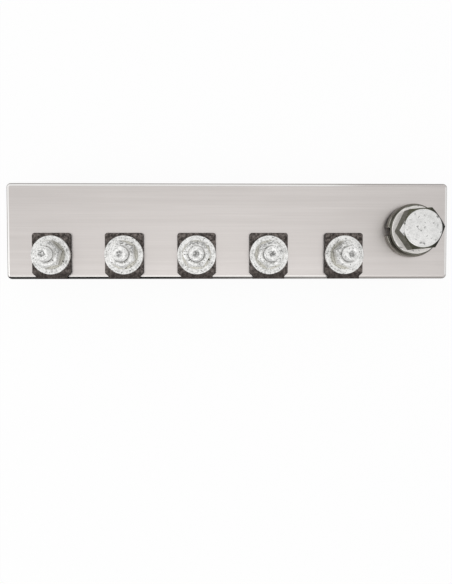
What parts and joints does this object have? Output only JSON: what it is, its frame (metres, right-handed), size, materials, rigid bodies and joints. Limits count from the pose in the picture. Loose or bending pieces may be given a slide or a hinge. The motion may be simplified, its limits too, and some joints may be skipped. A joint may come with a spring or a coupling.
{
  "type": "fuse busbar",
  "caption": "Flat plated busbar with a row of bolted fuse terminals along one edge and a hexagon-head feed bolt on a split spring washer near one end.",
  "frame": {"origin": "under the middle of the bar, level with the lowest point, the end of the feed bolt behind the bar", "axes": "+X along the bar towards the feed bolt, +Y across the bar away from the fuse terminals, +Z out of the bar's face"},
  "size_m": [0.185, 0.04, 0.0277],
  "materials": {
    "plated_copper": "fine lengthwise brushing, tin plating over copper",
    "zinc_steel": "bright zinc plating",
    "spring_steel": "grey zinc plating",
    "dark_tab": "dark mottled tarnish on rolled metal"
  },
  "bodies": {
    "root": {"busbar": "plated_copper", "feed_bolt": "zinc_steel", "feed_flat_washer": "zinc_steel", "feed_spring_washer": "spring_steel", "feed_nut": "zinc_steel", "terminal_bolt_1": "zinc_steel", "fuse_tab_1": "dark_tab", "terminal_washer_1": "zinc_steel", "terminal_spring_washer_1": "spring_steel", "terminal_nut_1": "zinc_steel", "terminal_bolt_2": "zinc_steel", "fuse_tab_2": "dark_tab", "terminal_washer_2": "zinc_steel", "terminal_spring_washer_2": "spring_steel", "terminal_nut_2": "zinc_steel", "terminal_bolt_3": "zinc_steel", "fuse_tab_3": "dark_tab", "terminal_washer_3": "zinc_steel", "terminal_spring_washer_3": "spring_steel", "terminal_nut_3": "zinc_steel", "terminal_bolt_4": "zinc_steel", "fuse_tab_4": "dark_tab", "terminal_washer_4": "zinc_steel", "terminal_spring_washer_4": "spring_steel", "terminal_nut_4": "zinc_steel", "terminal_bolt_5": "zinc_steel", "fuse_tab_5": "dark_tab", "terminal_washer_5": "zinc_steel", "terminal_spring_washer_5": "spring_steel", "terminal_nut_5": "zinc_steel"}
  },
  "joints": []
}
